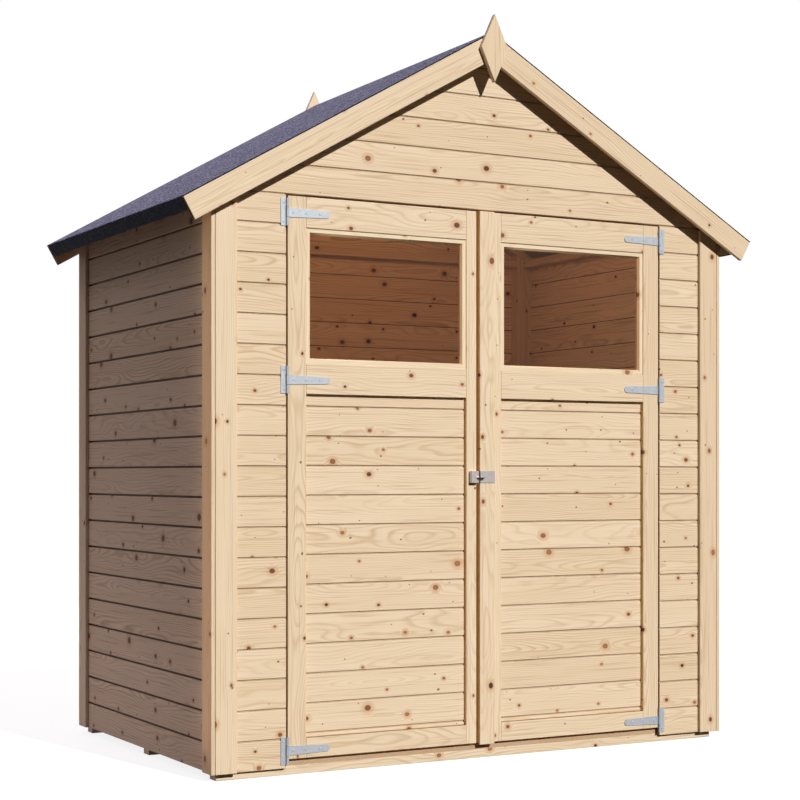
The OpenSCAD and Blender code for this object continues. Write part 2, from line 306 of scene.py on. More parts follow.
def knots(s, along, across, shift, cell, share, radii):
    """Knots scattered over the boards: how many radii away the next one is, and a number picked for it."""
    u = s.math("DIVIDE", along, cell[0])
    v = s.math("ADD", s.math("DIVIDE", across, cell[1]), shift)
    cells = s.node("TexVoronoi", {"voronoi_dimensions": "2D", "feature": "F1"}, {
        "Vector": s.node("CombineXYZ", None, {"X": u, "Y": v}).outputs[0], "Scale": 1.0, "Randomness": 0.9})
    centre_u, centre_v, _ = s.split(cells.outputs["Position"])
    chance, size, kind = s.split(cells.outputs["Color"])
    du = s.math("MULTIPLY", s.math("SUBTRACT", u, centre_u), KNOT_SQUEEZE * cell[0])
    dv = s.math("MULTIPLY", s.math("SUBTRACT", v, centre_v), cell[1])
    distance = s.math("SQRT", s.math("ADD", s.math("MULTIPLY", du, du), s.math("MULTIPLY", dv, dv)))
    radius = s.math("MULTIPLY_ADD", s.math("MULTIPLY", size, size), radii[1] - radii[0], radii[0])
    absent = s.math("MULTIPLY", s.math("GREATER_THAN", chance, share), FAR_AWAY)
    return s.math("ADD", s.math("DIVIDE", distance, radius), absent), kind


def growth_rings(s, grain, across, into, pick, large):
    """Late wood in the growth rings round a pith beside each board, which swerve round the large knots."""
    sway = s.split(s.noise(s.stretch(grain, SWAY), 1.0, 2.5).outputs["Color"])
    pith_across = s.math("MULTIPLY_ADD", pick[0], *PITH_ACROSS)
    pith_into = s.math("MULTIPLY_ADD", pick[1], *PITH_INTO)
    dv = s.math("ADD", s.math("ADD", across, pith_across), s.math("MULTIPLY_ADD", sway[0], *SWAY_ACROSS))
    dw = s.math("ADD", s.math("ADD", into, pith_into), s.math("MULTIPLY_ADD", sway[1], *SWAY_INTO))
    radius = s.math("SQRT", s.math("ADD", s.math("MULTIPLY", dv, dv), s.math("MULTIPLY", dw, dw)))
    swell = s.fade(large, 0.5, 3.6, KNOT_SWELL, 0.0)
    ring = s.math("FRACT", s.math("DIVIDE", s.math("ADD", radius, swell), RING_WIDTH))
    return s.ramp(ring, [(0.0, grey(0.25)), (0.08, grey(0.0)), (0.55, grey(0.10)), (0.86, grey(1.0)),
                         (1.0, grey(0.25))])


def stain_knots(s, colour, large, large_kind, small, knot_shade):
    """The wood's colour with its knots: a halo, a rim and a live, old or dead core on each large one."""
    colour = s.mix(s.fade(large, 0.9, 3.0, 0.55, 0.0), colour, rgb(*KNOT_HALO))
    core = s.ramp(large_kind, [(0.0, rgb(*LIVE_KNOT)), (0.55, rgb(*OLD_KNOT)), (1.0, rgb(*DEAD_KNOT))])
    core = s.mix(s.fade(large, 0.45, 0.95, 0.0, 0.65), core, rgb(*KNOT_RIM))
    core = s.mix(1.0, core, grey(knot_shade), "MULTIPLY")
    colour = s.mix(s.fade(large, 0.75, 1.15, 1.0, 0.0), colour, core)
    return s.mix(s.fade(small, 0.6, 1.6, 0.9, 0.0), colour, rgb(*SMALL_KNOT))


def pine(name, pale, late, rough, grain_depth, groove_shade=0.0, knot_shade=1.0, knot_size=1.0):
    """Pine with growth rings, fibres along each board and scattered knots. The argument after grain_depth is
    how much painted shade darkens the grooves between boards, knot_shade how light the knots are and
    knot_size how wide."""
    s = Shader(name)
    grain = s.attribute("grain")
    along, across, into = s.split(grain)
    pick = s.split(s.attribute("board"))
    wide_knots = {**LARGE_KNOTS, "radii": [radius * knot_size for radius in LARGE_KNOTS["radii"]]}
    large, large_kind = knots(s, along, across, s.math("MULTIPLY", pick[0], LARGE_KNOT_SHIFT), **wide_knots)
    small, _ = knots(s, along, across, s.math("MULTIPLY", pick[1], SMALL_KNOT_SHIFT), **SMALL_KNOTS)
    late_wood = growth_rings(s, grain, across, into, pick, large)
    fibre = s.noise(s.stretch(grain, FIBRES), 1.0, 2.0).outputs["Fac"]
    drift = s.noise(s.stretch(grain, DRIFT), 1.0, 3.0).outputs["Fac"]
    streak = s.noise(s.stretch(grain, STREAKS), 1.0, 3.0, 0.6).outputs["Fac"]

    strength = s.math("MULTIPLY", s.fade(drift, 0.30, 0.70, 0.30, 0.75),
                      s.math("MULTIPLY_ADD", pick[2], 0.5, 0.5))
    colour = s.mix(s.math("MULTIPLY", late_wood, strength), rgb(*pale), rgb(*late))
    colour = s.mix(s.fade(streak, 0.52, 0.70, 0.0, 0.5), colour, rgb(*[STREAK_SHADE * x for x in late]))
    for value, stops in ((fibre, [(0.30, grey(0.93)), (0.62, grey(1.0))]),
                         (drift, [(0.32, rgb(0.95, 0.92, 0.88)), (0.62, grey(1.0))]),
                         (pick[2], [(0.0, grey(1.0)), (1.0, rgb(0.96, 0.94, 0.91))])):
        colour = s.mix(1.0, colour, s.ramp(value, stops), "MULTIPLY")
    colour = stain_knots(s, colour, large, large_kind, small, knot_shade)
    # Painted shade in the grooves between boards, by their depth
    if groove_shade:
        inside = s.math("MULTIPLY", s.fade(into, *GROOVE_SHADE_FROM), s.fade(into, *GROOVE_SHADE_TO, 1.0, 0.0))
        colour = s.mix(s.math("MULTIPLY", inside, groove_shade), colour, rgb(*GROOVE_SHADE_COLOUR))

    relief = s.math("ADD", s.math("MULTIPLY", late_wood, 0.5), s.math("MULTIPLY", fibre, grain_depth))
    s.bump(relief, 0.25, RING_BUMP)
    s.surface(Base_Color=colour, Roughness=s.math("MULTIPLY_ADD", fibre, 0.22, rough),
              Specular_IOR_Level=0.25)
    return s.material


def roofing_felt():
    """Bitumen felt with blue-grey mineral grit; where it turns down over the eaves it is bare of grit and
    nearly black with painted shade.
    """
    s = Shader("roofing_felt")
    place = s.node("TexCoord").outputs["Object"]
    grit = s.node("TexVoronoi", {"feature": "F1"}, {"Vector": place, "Scale": FELT_GRIT})
    speck = s.split(grit.outputs["Color"])[0]
    blotch = s.noise(place, FELT_BLOTCHES, 4.0).outputs["Fac"]
    colour = s.ramp(speck, [(0.0, rgb(0.040, 0.041, 0.072)), (0.35, rgb(0.115, 0.117, 0.200)),
                            (0.80, rgb(0.195, 0.198, 0.320)), (1.0, rgb(0.56, 0.57, 0.72))])
    colour = s.mix(1.0, colour, s.ramp(blotch, [(0.3, grey(0.86)), (0.7, grey(1.0))]), "MULTIPLY")
    turned = s.split(s.attribute("grain"))[2]
    # Painted shade: where it turns down, the felt is bare of grit and nearly black
    bare_shaded = s.ramp(speck, [(0.0, rgb(0.002, 0.002, 0.005)), (0.8, rgb(0.006, 0.007, 0.014)),
                          (1.0, rgb(0.05, 0.05, 0.08))])
    colour = s.mix(turned, colour, bare_shaded)
    s.bump(grit.outputs["Distance"], 0.55, 0.0012)
    s.surface(Base_Color=colour, Roughness=s.fade(speck, 0.0, 1.0, 0.98, 0.86), Specular_IOR_Level=0.15)
    return s.material


def zinc(name, tint):
    """Galvanised steel with a faint spangle."""
    s = Shader(name)
    place = s.node("TexCoord").outputs["Object"]
    crystals = s.node("TexVoronoi", None, {"Vector": place, "Scale": ZINC_SPANGLE})
    spangle = s.split(crystals.outputs["Color"])[1]
    cloud = s.noise(place, ZINC_CLOUDS, 3.0).outputs["Fac"]
    colour = s.mix(spangle, rgb(*[0.90 * x for x in tint]), rgb(*tint))
    colour = s.mix(1.0, colour, s.ramp(cloud, [(0.3, grey(0.90)), (0.7, grey(1.0))]), "MULTIPLY")
    s.bump(cloud, 0.08, 0.0008)
    s.surface(Base_Color=colour, Metallic=0.55, Roughness=s.math("MULTIPLY_ADD", spangle, 0.14, 0.40))
    return s.material


def notch_painted_shade():
    """Painted shade: a black sheet as the inside of the finger notch, faintly dusty."""
    s = Shader("notch_painted_shade")
    dust = s.noise(s.node("TexCoord").outputs["Object"], NOTCH_DUST, 3.0).outputs["Fac"]
    s.surface(Base_Color=s.ramp(dust, [(0.3, grey(0.006)), (0.8, grey(0.022))]), Roughness=0.8)
    return s.material


def window_glass():
    """Clear glass with faint smears, which lets lamps through to the room."""
    s = Shader("window_glass")
    smear = s.noise(s.node("TexCoord").outputs["Object"], GLASS_SMEARS, 3.0).outputs["Fac"]
    s.surface(Base_Color=rgb(0.97, 0.96, 0.95), Transmission_Weight=1.0, IOR=1.2,
              Roughness=s.fade(smear, 0.35, 0.75, 0.0, 0.02))
    shadow_ray = s.node("LightPath").outputs["Is Shadow Ray"]
    clear = s.node("BsdfTransparent", None, {"Color": rgb(0.96, 0.96, 0.95)})
    s.end("Material Output", s.mix_shaders(shadow_ray, s.principled, clear))
    return s.material


# The grooves get painted shade: a little on the sunlit front boards, much on the walls in shade
BOARD_PINE = pine("board_pine", (0.89, 0.735, 0.545), (0.58, 0.38, 0.21), rough=0.50, grain_depth=0.5,
                  groove_shade=0.35)
SIDE_PINE = pine("side_pine", (0.90, 0.73, 0.55), (0.38, 0.24, 0.135), rough=0.55, grain_depth=0.5,
                 groove_shade=0.95, knot_shade=0.2, knot_size=1.35)
TRIM_PINE = pine("trim_pine", (0.895, 0.745, 0.555), (0.60, 0.405, 0.235), rough=0.48, grain_depth=0.4)
BEAD_PINE = pine("bead_pine", (0.93, 0.80, 0.60), (0.78, 0.59, 0.38), rough=0.46, grain_depth=0.4)
# Painted light: a warmer, paler pine for the side trims at the front corners
CORNER_LIT_PINE = pine("corner_painted_light", (0.95, 0.70, 0.46), (0.70, 0.44, 0.23), rough=0.50, grain_depth=0.4)
# Bargeboard ends: darker as end grain, and nearly black with painted shade
END_GRAIN_SHADE_PINE = pine("end_grain_painted_shade", (0.17, 0.090, 0.045), (0.10, 0.048, 0.022), rough=0.80, grain_depth=1.0)
# Painted light: orange pine for the sides of stiles and the cover strip, as if lit by light bounced off the
# sunlit boards
EDGE_BOUNCE_PINE = pine("edge_painted_bounce", (0.97, 0.70, 0.37), (0.86, 0.55, 0.26), rough=0.55, grain_depth=0.6)
SAWN_PINE = pine("sawn_pine", (0.74, 0.545, 0.345), (0.50, 0.30, 0.145), rough=0.66, grain_depth=1.0)
# The grooves of the inside faces get much painted shade
INNER_PINE = pine("inner_pine", (0.88, 0.65, 0.42), (0.42, 0.245, 0.125), rough=0.55, grain_depth=0.5,
                  groove_shade=0.95, knot_shade=0.3)
# Painted light: a paler, more orange pine for the beads' splayed sides in the window reveals
REVEAL_LIT_PINE = pine("reveal_painted_light", (1.0, 0.66, 0.41), (0.90, 0.55, 0.31), rough=0.50, grain_depth=0.4)
SILL_PINE = pine("sill_pine", (0.60, 0.43, 0.28), (0.45, 0.29, 0.165), rough=0.60, grain_depth=0.8)
# Dark sawn pine of the roof deck, which also paints shade on the door rails' top faces
DECK_AND_TOP_SHADE_PINE = pine("deck_and_top_shade_pine", (0.44, 0.29, 0.175), (0.29, 0.165, 0.085), rough=0.72, grain_depth=1.0)
FELT = roofing_felt()
ZINC = zinc("zinc_plate", (0.405, 0.44, 0.49))
LATCH_ZINC = zinc("zinc_latch", (0.41, 0.378, 0.378))
SCREW_ZINC = zinc("zinc_screw", (0.42, 0.435, 0.465))
# Painted light: a much paler zinc for the keeper's sides, which are in shade
FLANGE_LIT_ZINC = zinc("zinc_flange_painted_light", (0.80, 0.78, 0.78))
NOTCH_SHADE = notch_painted_shade()
GLASS = window_glass()


# Making pieces

def tube_faces(count, steps):
    """Faces of a tube through steps + 1 rings of count points each, without its ends."""
    faces = []
    for ring in range(0, steps * count, count):
        for i in range(count):
            j = (i + 1) % count
            faces.append([ring + i, ring + j, ring + count + j, ring + count + i])
    return faces


class Piece:
    """Gathers the solids of one piece, each with its own grain."""

    def __init__(self):
        self.points = []
        self.faces = []
        self.grain = []
        self.board = []

    def add(self, points, faces, grain=None):
        """Adds one solid. grain is each point's place along, across and into the wood. Metal needs none."""
        first = len(self.points)
        start = DRAW.uniform(0, GRAIN_RUN)
        pick = [DRAW.random() for _ in range(3)]
        self.points += points
        self.faces += [[first + i for i in face] for face in faces]
        self.grain += [(along + start, across, into) for along, across, into in grain or points]
        self.board += [pick] * len(points)

    def add_tube(self, rings, grain=None):
        """Adds the solid through rings of as many points each, closed at both ends."""
        count = len(rings[0])
        last = (len(rings) - 1) * count
        ends = [list(range(count)), list(range(last, last + count))]
        self.add([point for ring in rings for point in ring], tube_faces(count, len(rings) - 1) + ends, grain)

    def add_plate(self, outline, front, back):
        """Adds a flat plate with an outline of (x, z) between two depths."""
        self.add_tube([[Vector((x, y, z)) for x, z in outline] for y in (front, back)])

    def make(self, name, material, body, nodes=(), smooth=False):
        mesh = bpy.data.meshes.new(name)
        mesh.from_pydata(self.points, [], self.faces)
        for key, values in (("grain", self.grain), ("board", self.board)):
            attribute = mesh.attributes.new(key, "FLOAT_VECTOR", "POINT")
            attribute.data.foreach_set("vector", [x for value in values for x in value])
        shaped = bmesh.new()
        shaped.from_mesh(mesh)
        bmesh.ops.recalc_face_normals(shaped, faces=shaped.faces)
        shaped.to_mesh(mesh)
        shaped.free()
        mesh.materials.append(material)
        mesh.polygons.foreach_set("use_smooth", [smooth] * len(mesh.polygons))
        obj = bpy.data.objects.new(name, mesh)
        bpy.context.scene.collection.objects.link(obj)
        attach(obj, body)
        if nodes:
            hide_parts(*nodes)
        return obj


def solids(node, edge=0.0):
    """The separate solids of a CAD node with their flat faces whole and their edges eased, as lists of
    points and faces."""
    shaped = bmesh.new()
    shaped.from_mesh(frame["nodes"][node].data)
    bmesh.ops.remove_doubles(shaped, verts=shaped.verts, dist=MERGE_DISTANCE)
    bmesh.ops.dissolve_limit(shaped, angle_limit=FLAT_ANGLE, verts=shaped.verts, edges=shaped.edges)
    if edge:
        bmesh.ops.bevel(shaped, geom=shaped.edges, offset=edge, offset_type="OFFSET", segments=EDGE_STEPS,
                        profile=0.5, affect="EDGES", clamp_overlap=True)
    left = set(shaped.verts)
    found = []
    for vert in shaped.verts:
        if vert not in left:
            continue
        group = [vert]
        left.discard(vert)
        for member in group:
            for linked in (e.other_vert(member) for e in member.link_edges):
                if linked in left:
                    left.discard(linked)
                    group.append(linked)
        number = {member: i for i, member in enumerate(group)}
        faces = {face for member in group for face in member.link_faces}
        ordered = sorted(faces, key=lambda face: face.index)
        found.append(([member.co.copy() for member in group],
                      [[number[v] for v in face.verts] for face in ordered]))
    shaped.free()
    return found


def extent(points):
    low = Vector([min(p[i] for p in points) for i in range(3)])
    high = Vector([max(p[i] for p in points) for i in range(3)])
    return low, high


def wood_axes(points, faces, along=None, across=None):
    """Directions along, across and into a timber, from its longest edges."""
    edges = [points[face[i - 1]] - points[face[i]] for face in faces for i in range(len(face))]
    edges.sort(key=lambda edge: (round(edge.length, LENGTH_DIGITS), *edge), reverse=True)
    first = Vector(along) if along else edges[0].normalized()
    crossing = (edge for edge in edges if abs(edge.normalized().dot(first)) < NEARLY_SQUARE)
    second = Vector(across) if across else next(crossing)
    second = (second - first * second.dot(first)).normalized()
    return first, second, first.cross(second)


def planed(node, material, edge=PLANED_EDGE, along=None, across=None, gap=0.0):
    """Dresses each timber of a CAD node: the same size, with eased edges and its own grain. gap is taken off
    both of its sides in X, so that the joints there show."""
    piece = Piece()
    for points, faces in solids(node, edge):
        axes = wood_axes(points, faces, along, across)
        middle = sum(points, Vector()) / len(points)
        for point in points:
            point.x -= math.copysign(gap, point.x - middle.x)
        piece.add(points, faces, [tuple((p - middle).dot(axis) for axis in axes) for p in points])
    return piece.make(f"{node}_timber", material, BODY_OF[node], [node])


def tint_faces(timber, material, wanted):
    """Gives the wanted faces of a timber another material: another pine, or one that paints light or shade on
    them.
    """
    mesh = timber.data
    mesh.materials.append(material)
    for face in mesh.polygons:
        if wanted(face):
            face.material_index = 1


def faces_sideways(face):
    return abs(face.normal.x) > FACING


def on_front_corner(face):
    return faces_sideways(face) and face.center.y < 0


def ends_bargeboard(face):
    return abs(face.normal.x) * ROOF_COS - face.normal.z * ROOF_SIN > FACING_BARGE_END


def faces_front(face):
    return face.normal.y < -FACING


def board_outline(height, groove, depth, lap, rebate):
    """Outline of a lapped board as (depth behind its face, height). lap is what stands up behind the next
    board, and None leaves the top square."""
    back = BOARD_T
    if lap is None:
        outline = [(0, BOARD_EDGE), (0, height - BOARD_EDGE), (BOARD_EDGE, height), (back, height)]
    else:
        face_top = height - groove
        tip = height + lap
        outline = [(0, BOARD_EDGE), (0, face_top - BOARD_EDGE), (BOARD_EDGE, face_top), (depth, face_top),
                   (depth, tip), (back, tip)]
    if rebate:
        outline += [(back, BOARD_LAP), (depth + LAP_GAP, BOARD_LAP), (depth + LAP_GAP, 0)]
    else:
        outline += [(back, 0)]
    return outline + [(BOARD_EDGE, 0)]


def rows(low, high, cover, first=0.0):
    """Lower and upper edges of the boards that fill a height. With a narrower one of height first below them,
    the rest above is a narrower one too."""
    whole = (high - low - first) / cover
    count = math.ceil(whole) if first else max(1, round(whole))
    edges = [low] * bool(first) + [low + first + i * cover for i in range(count)] + [high]
    return list(zip(edges, edges[1:]))


def board_wall(name, nodes, material, place, start, end, spans, groove=BOARD_GROOVE,
               depth=GROOVE_DEPTH, top=None, lapped=True):
    """Lays a board over each span. place turns (along, depth, height) into a point, start and end give
    where a board begins and stops at a height, and top is the lap of the last board."""
    piece = Piece()
    for i, (low, high) in enumerate(spans):
        lap = BOARD_LAP - BACK_GAP if lapped and i < len(spans) - 1 else top
        outline = board_outline(high - low, groove, depth, lap, lapped and i > 0)
        middle = (high - low) / 2
        rings, grain = [], []
        for limit in (start, end):
            rings.append([place(limit(low + h), d, low + h) for d, h in outline])
            grain += [(limit(low + h), h - middle, d) for d, h in outline]
        piece.add_tube(rings, grain)
    return piece.make(name, material, BODY_OF[nodes[0]], nodes)


def on_slope(side, y, s, n):
    """Point on a roof slope: s down from the ridge and n square to the slope."""
    return Vector((side * (s * ROOF_COS + n * ROOF_SIN), y, RIDGE - s * ROOF_SIN + n * ROOF_COS))


def to_roof(side):
    """Where a board of a gable wall stops, at a height."""
    return lambda z: side * max(RIDGE_TIP, min(SIDE, (RIDGE - z) / ROOF_TAN))


def fixed(value):
    return lambda z: value


# Walls, floor and roof boards

def front_place(along, depth, z):
    return Vector((along, FRONT + depth, z))


def rear_place(along, depth, z):
    return Vector((along, REAR - depth, z))


def make_walls():
    low_rows = rows(WALL_Z, LINTEL, BOARD_COVER)
    for name, inner in (("front_wall_left", -DOORWAY_X), ("front_wall_right", DOORWAY_X)):
        outer = math.copysign(SIDE, inner)
        start, end = sorted((inner, outer))
        board_wall(f"{name}_boards", [name], BOARD_PINE, front_place, fixed(start), fixed(end),
                   low_rows, groove=FRONT_GROOVE, depth=FRONT_GROOVE_DEPTH, top=0.0)
    board_wall("front_gable_boards", ["front_gable"], BOARD_PINE, front_place, to_roof(-1),
               to_roof(1), rows(LINTEL, RIDGE, BOARD_COVER), groove=FRONT_GROOVE, depth=FRONT_GROOVE_DEPTH)
    rear = board_wall("rear_wall_boards", ["rear_wall"], SIDE_PINE, rear_place, to_roof(-1),
                      to_roof(1), rows(WALL_Z, RIDGE, BOARD_COVER))
    tint_faces(rear, INNER_PINE, faces_front)
    side_rows = rows(WALL_Z, EAVE, BOARD_COVER)
    for name, side in (("left_wall", -1), ("right_wall", 1)):
        boards = board_wall(f"{name}_boards", [name], SIDE_PINE,
                            lambda along, depth, z, side=side: Vector((side * (SIDE - depth), along, z)),
                            fixed(-FRAME_Y), fixed(FRAME_Y), side_rows)
        tint_faces(boards, INNER_PINE, lambda face, side=side: face.normal.x * side < -FACING)


def make_floor():
    low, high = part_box("floor_boards")
    planks = board_wall("floor_planks", ["floor_boards"], SAWN_PINE,
                        lambda along, depth, x: Vector((x, along, high.z - depth)),
                        fixed(low.y), fixed(high.y), rows(low.x, high.x, FLOOR_COVER), lapped=False)
    tint_faces(planks, SILL_PINE, faces_front)
    planed("floor_bearers", TRIM_PINE, across=(0, 0, 1))


def make_roof_boards():
    deck_s = FELT_S - FELT_T
    gap = DECK_T - BOARD_T
    for name, side in (("roof_deck_left", -1), ("roof_deck_right", 1)):
        board_wall(f"{name}_boards", [name], DECK_AND_TOP_SHADE_PINE,
                   lambda along, depth, s, side=side: on_slope(side, along, s, gap + depth),
                   fixed(-DECK_Y), fixed(DECK_Y), rows(0.0, deck_s, DECK_COVER), groove=DECK_GROOVE,
                   depth=DECK_GROOVE_DEPTH)


def felt_section():
    """Outside of the felt from the ridge to its hem: places down the slope and square to it, and how bare of
    grit and darkened with painted shade each is."""
    downs = [FELT_S * i / FELT_STRIPS for i in range(FELT_STRIPS)]
    section = [(s, FELT_FACE, 0.0) for s in downs if s < FELT_S - 2 * FELT_BEND]
    for i in range(FELT_BEND_STEPS + 1):
        turn = math.radians(90 * i / FELT_BEND_STEPS)
        # From this step of the bend on, the felt is bare and painted with shade
        bare_shaded = max(0, i - FELT_BARE_SHADED_FROM) / (FELT_BEND_STEPS - FELT_BARE_SHADED_FROM)
        section.append((FELT_S - FELT_BEND * (1 - math.sin(turn)),
                        FELT_FACE - FELT_BEND * (1 - math.cos(turn)), bare_shaded))
    bend_end = FELT_FACE - FELT_BEND
    for i in range(1, FELT_HEM_STEPS + 1):
        section.append((FELT_S, bend_end - (bend_end + FELT_DROP) * i / FELT_HEM_STEPS, 1.0))
    return section


def felt_ring(section, side, y):
    """Slice across the felt, as pairs of a point and its grain: the outside, which waves as a laid sheet
    does, and then the inside."""
    waves_s, waves_y = FELT_WAVES_PER_M
    hem_y, hem_n = FELT_HEM_WAVES_PER_M
    outside, inside = [], []
    for s, n, bare_shaded in section:
        turned = max(0.0, min(1.0, (FELT_FACE - FELT_BEND - n) / FELT_BEND))
        swell = noise.noise(Vector((s * waves_s, y * waves_y, side * FELT_WAVE_START)))
        wave = FELT_WAVE * max(0.0, swell)
        flutter = noise.noise(Vector((y * hem_y, n * hem_n, side * FELT_HEM_START)))
        hem = FELT_HEM_WAVE * turned * flutter
        away_s = wave * turned
        away_n = wave * (1 - turned) + hem * max(0.0, -n / FELT_DROP)
        ridge_fit = n * ROOF_TAN if s == 0 else 0.0
        outside.append((on_slope(side, y, s - ridge_fit + away_s, n + away_n), (s, y, bare_shaded)))
        inner_n = n - FELT_T * (1 - turned)
        inner_s = s - FELT_T * turned
        inner_fit = inner_n * ROOF_TAN if s == 0 else 0.0
        inside.append((on_slope(side, y, inner_s - inner_fit, inner_n), (s, y, 1.0)))
    return outside + inside[::-1]


def make_felt(node, side):
    """Felt over one slope, bent round the eaves and turned down, with a strip of it over each bargeboard."""
    section = felt_section()
    steps = round(2 * DECK_Y / FELT_STEP)
    rings = [felt_ring(section, side, -DECK_Y + 2 * DECK_Y * k / steps) for k in range(steps + 1)]
    count = len(rings[0])
    points = [point for ring in rings for point, _ in ring]
    grain = [mark for ring in rings for _, mark in ring]
    faces = tube_faces(count, steps)
    for first in (0, steps * count):
        faces += [[first + i, first + i + 1, first + count - 2 - i, first + count - 1 - i]
                  for i in range(len(section) - 1)]
    piece = Piece()
    piece.add(points, faces, grain)
    outline = [(-DECK_T * ROOF_TAN, DECK_T), (FELT_S, DECK_T), (FELT_S, FELT_FACE),
               (-FELT_FACE * ROOF_TAN, FELT_FACE)]
    for y0, y1 in ((-BARGE_Y, -DECK_Y), (BARGE_Y, DECK_Y)):
        ends = [[on_slope(side, y, s, n) for s, n in outline] for y in (y0, y1)]
        piece.add_tube(ends, [(s, y0, 1.0) for s, _ in outline]
                       + [(s, y1, float(n < FELT_FACE)) for s, n in outline])
    return piece.make(f"{node}_sheet", FELT, "shed", [node])


def make_timbers():
    for node in ("end_studs", "side_studs", "left_rafters", "right_rafters", "roof_battens_left",
                 "roof_battens_right"):
        planed(node, SAWN_PINE, SAWN_EDGE)
    for node in ("end_rails", "side_rails"):
        planed(node, SAWN_PINE, SAWN_EDGE, across=(0, 0, 1))
    for node in ("front_trims", "rear_trims"):
        planed(node, TRIM_PINE, TRIM_EDGE, gap=TRIM_GAP)
    for node in ("left_trims", "right_trims"):
        # The side trims' faces at the front corners get painted light
        tint_faces(planed(node, TRIM_PINE, TRIM_EDGE), CORNER_LIT_PINE, on_front_corner)
    for end in ("front_left", "front_right", "rear_left", "rear_right"):
        board = planed(f"{end}_bargeboard", TRIM_PINE, TRIM_EDGE)
        # The bargeboards' end faces get painted shade
        tint_faces(board, END_GRAIN_SHADE_PINE, ends_bargeboard)
    planed("finials", TRIM_PINE, along=(0, 0, 1))
    # The cover strip's sides get painted bounce light
    tint_faces(planed("cover_strip", TRIM_PINE), EDGE_BOUNCE_PINE, faces_sideways)


# Doors

def add_bead_frame(piece, low, high, section, face):
    """Adds the four beads of a frame, mitred at its corners. section holds places inwards and in Y."""
    middle = (low + high) / 2
    half = high - middle
    for turn in range(4):
        run, rise = (half.x, half.z) if turn % 2 == 0 else (half.z, half.x)
        rings, grain = [], []
        for sign in (-1, 1):
            ring = []
            for inwards, y in section:
                flat = Vector((sign * (run - inwards), 0, rise - inwards))
                for _ in range(turn):
                    flat = Vector((flat.z, 0, -flat.x))
                ring.append(Vector((middle.x + flat.x, y, middle.z + flat.z)))
            rings.append(ring)
            grain += [(sign * (run - inwards), inwards, y - face) for inwards, y in section]
        piece.add_tube(rings, grain)


def make_beads(node):
    """Four mitred beads round each face of a window, splayed towards the pane."""
    pane_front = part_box(node.replace("beads", "glass"))[0].y
    piece = Piece()
    for points, _ in solids(node):
        low, high = extent(points)
        in_front = high.y <= pane_front + MERGE_DISTANCE
        face, back = (low.y, high.y) if in_front else (high.y, low.y)
        width = min(p.x for p in points if p.x > low.x + BEAD_SPLAY) - low.x
        section = [(0, back), (0, face), (width - BEAD_SPLAY, face),
                   (width, face + BEAD_SPLAY_SHARE * (back - face)), (width, back)]
        add_bead_frame(piece, low, high, section, face)
    beads = piece.make(f"{node}_mitred", BEAD_PINE, BODY_OF[node], [node])
    # The beads' splayed sides get painted light
    tint_faces(beads, REVEAL_LIT_PINE, lambda face: abs(face.normal.x) > FACING_SPLAY)


def make_doors():
    for side in ("left_door", "right_door"):
        # The stiles' sides get painted bounce light
        tint_faces(planed(f"{side}_stiles", TRIM_PINE), EDGE_BOUNCE_PINE, faces_sideways)
        # Painted shade: the rails' top faces take the dark deck pine
        tint_faces(planed(f"{side}_rails", TRIM_PINE, gap=RAIL_GAP), DECK_AND_TOP_SHADE_PINE,
                   lambda face: face.normal.z > FACING)
        low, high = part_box(f"{side}_panel")
        board_wall(f"{side}_panel_boards", [f"{side}_panel"], BOARD_PINE,
                   lambda along, depth, z, face=low.y: Vector((along, face + depth, z)),
                   fixed(low.x), fixed(high.x), rows(low.z, high.z, PANEL_COVER, PANEL_FIRST),
                   groove=FRONT_GROOVE, depth=FRONT_GROOVE_DEPTH)
        make_beads(f"{side}_beads")


# Fittings

def make_screws(name, body, spots, face):
    """Round screw heads with a sunk drive, facing the front."""
    piece = Piece()
    for x, z in spots:
        points = [Vector((x, face - SCREW_RISE * SCREW_SINK, z))]
        for radius, rise in SCREW_SECTION:
            for i in range(SCREW_SIDES):
                turn = math.tau * i / SCREW_SIDES
                points.append(Vector((x + SCREW_HEAD * radius * math.cos(turn), face - SCREW_RISE * rise,
                                      z + SCREW_HEAD * radius * math.sin(turn))))
        faces = [[0, 1 + i, 1 + (i + 1) % SCREW_SIDES] for i in range(SCREW_SIDES)]
        for k in range(len(SCREW_SECTION) - 1):
            a, b = 1 + k * SCREW_SIDES, 1 + (k + 1) * SCREW_SIDES
            faces += [[a + i, a + (i + 1) % SCREW_SIDES, b + (i + 1) % SCREW_SIDES, b + i]
                      for i in range(SCREW_SIDES)]
        rim = 1 + (len(SCREW_SECTION) - 1) * SCREW_SIDES
        faces.append([rim + i for i in range(SCREW_SIDES)])
        piece.add(points, faces)
    return piece.make(name, SCREW_ZINC, body, smooth=True)


def make_hinge_screws():
    for side, sign in (("left", -1), ("right", 1)):
        plates = [extent(points) for points, _ in solids(f"{side}_hinge_plates")]
        straps = [extent(points) for points, _ in solids(f"{side}_door_straps")]
        plate_spots, strap_spots = [], []
        for low, high in plates:
            z = (low.z + high.z) / 2
            x = (low.x + high.x) / 2 + sign * PLATE_SCREW_SHIFT
            plate_spots += [(x, z - PLATE_SCREW_RISE), (x, z + PLATE_SCREW_RISE)]
        for low, high in straps:
            root = high.x if sign > 0 else low.x
            strap_spots += [(root - sign * reach, (low.z + high.z) / 2) for reach in STRAP_SCREWS]
        face = FRONT - HINGE_T
        make_screws(f"{side}_plate_screws", "shed", plate_spots, face)
        make_screws(f"{side}_strap_screws", f"{side}_door", strap_spots, face)


